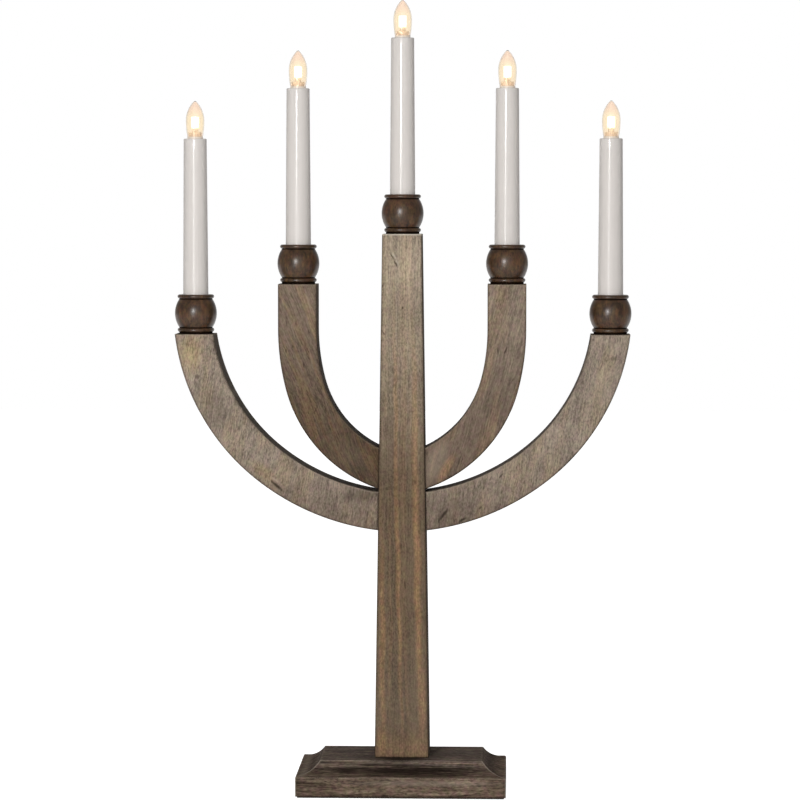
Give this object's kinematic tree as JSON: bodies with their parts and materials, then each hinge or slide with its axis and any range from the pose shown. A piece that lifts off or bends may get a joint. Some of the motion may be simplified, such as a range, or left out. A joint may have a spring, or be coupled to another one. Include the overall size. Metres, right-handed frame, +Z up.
{
  "type": "electric candelabra",
  "caption": "Upright stained wood candelabra with a coved plinth, a tapered stem, curved arms in pairs and screw-in electric candles.",
  "frame": {"origin": "on the table under the middle of the plinth", "axes": "+Z up, +X to the right seen from the front, +Y to the back"},
  "size_m": [0.364, 0.1012, 0.6294],
  "materials": {
    "greyed_wood": "satin stain",
    "plinth_wood": "satin stain",
    "dowel_wood": "raw",
    "cup_wood": "satin stain",
    "felt": "matt felt",
    "bush_plastic": "matt",
    "sleeve_plastic": "gloss",
    "holder_plastic": "matt",
    "brass": "bright",
    "tip_metal": "tinned",
    "warm_light": "glowing",
    "clear_envelope": "clear",
    "wire_plastic": "matt",
    "screw_steel": "zinc plated"
  },
  "bodies": {
    "candelabra": {"stem": "greyed_wood", "stem_strip": "greyed_wood", "arm_outer_left": "greyed_wood", "arm_inner_left": "greyed_wood", "arm_inner_right": "greyed_wood", "arm_outer_right": "greyed_wood", "arm_strip_outer_left": "greyed_wood", "arm_strip_inner_left": "greyed_wood", "arm_strip_inner_right": "greyed_wood", "arm_strip_outer_right": "greyed_wood", "base_plinth": "plinth_wood", "arm_dowels": "dowel_wood", "cup_outer_left": "cup_wood", "cup_inner_left": "cup_wood", "cup_centre": "cup_wood", "cup_inner_right": "cup_wood", "cup_outer_right": "cup_wood", "base_felt": "felt", "cord_bush": "bush_plastic", "terminal_block": "bush_plastic", "sleeve_outer_left": "sleeve_plastic", "sleeve_inner_left": "sleeve_plastic", "sleeve_centre": "sleeve_plastic", "sleeve_inner_right": "sleeve_plastic", "sleeve_outer_right": "sleeve_plastic", "lampholder_outer_left": "holder_plastic", "lampholder_inner_left": "holder_plastic", "lampholder_centre": "holder_plastic", "lampholder_inner_right": "holder_plastic", "lampholder_outer_right": "holder_plastic", "lampholder_shells": "brass", "lampholder_contacts": "brass", "lead_outer_left": "wire_plastic", "lead_inner_left": "wire_plastic", "lead_centre": "wire_plastic", "lead_inner_right": "wire_plastic", "lead_outer_right": "wire_plastic", "stem_screws": "screw_steel"},
    "bulb_foot_outer_left": {"bulb_tip_outer_left": "tip_metal"},
    "bulb_outer_left": {"bulb_cap_outer_left": "brass", "bulb_collar_outer_left": "warm_light", "bulb_envelope_outer_left": "clear_envelope"},
    "bulb_foot_inner_left": {"bulb_tip_inner_left": "tip_metal"},
    "bulb_inner_left": {"bulb_cap_inner_left": "brass", "bulb_collar_inner_left": "warm_light", "bulb_envelope_inner_left": "clear_envelope"},
    "bulb_foot_centre": {"bulb_tip_centre": "tip_metal"},
    "bulb_centre": {"bulb_cap_centre": "brass", "bulb_collar_centre": "warm_light", "bulb_envelope_centre": "clear_envelope"},
    "bulb_foot_inner_right": {"bulb_tip_inner_right": "tip_metal"},
    "bulb_inner_right": {"bulb_cap_inner_right": "brass", "bulb_collar_inner_right": "warm_light", "bulb_envelope_inner_right": "clear_envelope"},
    "bulb_foot_outer_right": {"bulb_tip_outer_right": "tip_metal"},
    "bulb_outer_right": {"bulb_cap_outer_right": "brass", "bulb_collar_outer_right": "warm_light", "bulb_envelope_outer_right": "clear_envelope"}
  },
  "joints": [
    {"name": "bulb_lift_outer_left", "type": "slide", "parent": "candelabra", "child": "bulb_foot_outer_left", "axis": [0, 0, 1], "range_m": [0, 0.00907]},
    {"name": "bulb_turn_outer_left", "type": "hinge", "parent": "bulb_foot_outer_left", "child": "bulb_outer_left", "pos_m": [-0.16527, 0, 0.5], "axis": [0, 0, 1], "range_deg": [0, 1800]},
    {"name": "bulb_lift_inner_left", "type": "slide", "parent": "candelabra", "child": "bulb_foot_inner_left", "axis": [0, 0, 1], "range_m": [0, 0.00907]},
    {"name": "bulb_turn_inner_left", "type": "hinge", "parent": "bulb_foot_inner_left", "child": "bulb_inner_left", "pos_m": [-0.0831, 0, 0.5], "axis": [0, 0, 1], "range_deg": [0, 1800]},
    {"name": "bulb_lift_centre", "type": "slide", "parent": "candelabra", "child": "bulb_foot_centre", "axis": [0, 0, 1], "range_m": [0, 0.00907]},
    {"name": "bulb_turn_centre", "type": "hinge", "parent": "bulb_foot_centre", "child": "bulb_centre", "pos_m": [0, 0, 0.5], "axis": [0, 0, 1], "range_deg": [0, 1800]},
    {"name": "bulb_lift_inner_right", "type": "slide", "parent": "candelabra", "child": "bulb_foot_inner_right", "axis": [0, 0, 1], "range_m": [0, 0.00907]},
    {"name": "bulb_turn_inner_right", "type": "hinge", "parent": "bulb_foot_inner_right", "child": "bulb_inner_right", "pos_m": [0.0831, 0, 0.5], "axis": [0, 0, 1], "range_deg": [0, 1800]},
    {"name": "bulb_lift_outer_right", "type": "slide", "parent": "candelabra", "child": "bulb_foot_outer_right", "axis": [0, 0, 1], "range_m": [0, 0.00907]},
    {"name": "bulb_turn_outer_right", "type": "hinge", "parent": "bulb_foot_outer_right", "child": "bulb_outer_right", "pos_m": [0.16527, 0, 0.5], "axis": [0, 0, 1], "range_deg": [0, 1800]}
  ],
  "couplings": [
    {"joint": "bulb_turn_outer_left", "follows": "bulb_lift_outer_left", "rad_per_m": 3463.7},
    {"joint": "bulb_turn_inner_left", "follows": "bulb_lift_inner_left", "rad_per_m": 3463.7},
    {"joint": "bulb_turn_centre", "follows": "bulb_lift_centre", "rad_per_m": 3463.7},
    {"joint": "bulb_turn_inner_right", "follows": "bulb_lift_inner_right", "rad_per_m": 3463.7},
    {"joint": "bulb_turn_outer_right", "follows": "bulb_lift_outer_right", "rad_per_m": 3463.7}
  ]
}
